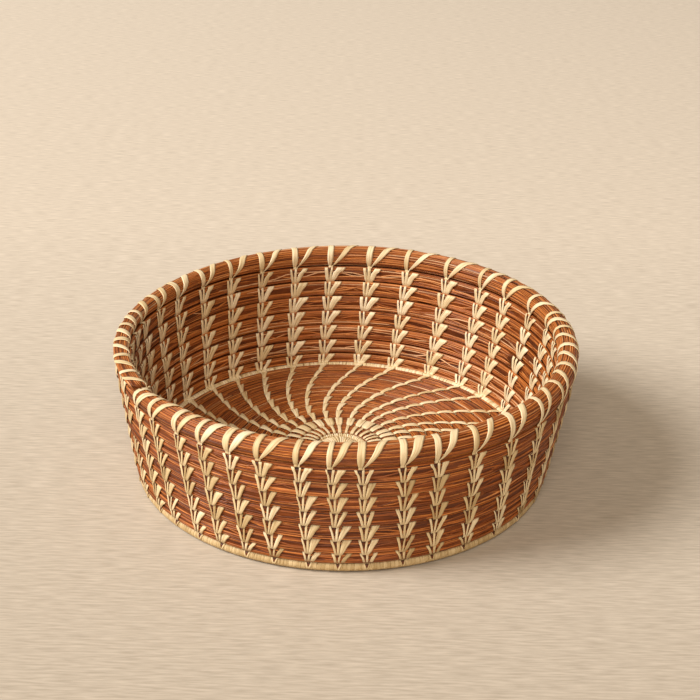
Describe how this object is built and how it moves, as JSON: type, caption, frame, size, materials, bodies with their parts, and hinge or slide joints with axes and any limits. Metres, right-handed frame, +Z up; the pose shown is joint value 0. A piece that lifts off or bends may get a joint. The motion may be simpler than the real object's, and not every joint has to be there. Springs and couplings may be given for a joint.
{
  "type": "coiled basket",
  "caption": "Round open coiled basket with a flat floor, flaring wall and thicker rim, sewn with lines of pale V stitches.",
  "frame": {"origin": "on the surface that the basket stands on, below the middle of the rim", "axes": "+Z up along the basket's axis, -Y towards the viewer, +X to the viewer's right"},
  "size_m": [0.2551, 0.2548, 0.0843],
  "materials": {
    "needles": "dried reddish-brown needles, satin",
    "raffia": "flat pale straw-coloured strand, matt"
  },
  "bodies": {
    "root": {"center_button": "raffia", "corner_coil": "raffia", "floor_coil": "needles", "wall_coil": "needles", "rim_coil": "needles", "under_stitching": "raffia", "stitch_line_01": "raffia", "stitch_line_02": "raffia", "stitch_line_03": "raffia", "stitch_line_04": "raffia", "stitch_line_05": "raffia", "stitch_line_06": "raffia", "stitch_line_07": "raffia", "stitch_line_08": "raffia", "stitch_line_09": "raffia", "stitch_line_10": "raffia", "stitch_line_11": "raffia", "stitch_line_12": "raffia", "stitch_line_13": "raffia", "stitch_line_14": "raffia", "stitch_line_15": "raffia", "stitch_line_16": "raffia", "stitch_line_17": "raffia", "stitch_line_18": "raffia", "stitch_line_19": "raffia", "stitch_line_20": "raffia", "stitch_line_21": "raffia", "stitch_line_22": "raffia", "stitch_line_23": "raffia", "stitch_line_24": "raffia", "stitch_line_25": "raffia", "stitch_line_26": "raffia", "stitch_line_27": "raffia", "stitch_line_28": "raffia", "stitch_line_29": "raffia", "stitch_line_30": "raffia", "stitch_line_31": "raffia", "stitch_line_32": "raffia", "stitch_line_33": "raffia", "stitch_line_34": "raffia", "stitch_line_35": "raffia", "stitch_line_36": "raffia", "stitch_line_37": "raffia"}
  },
  "joints": []
}
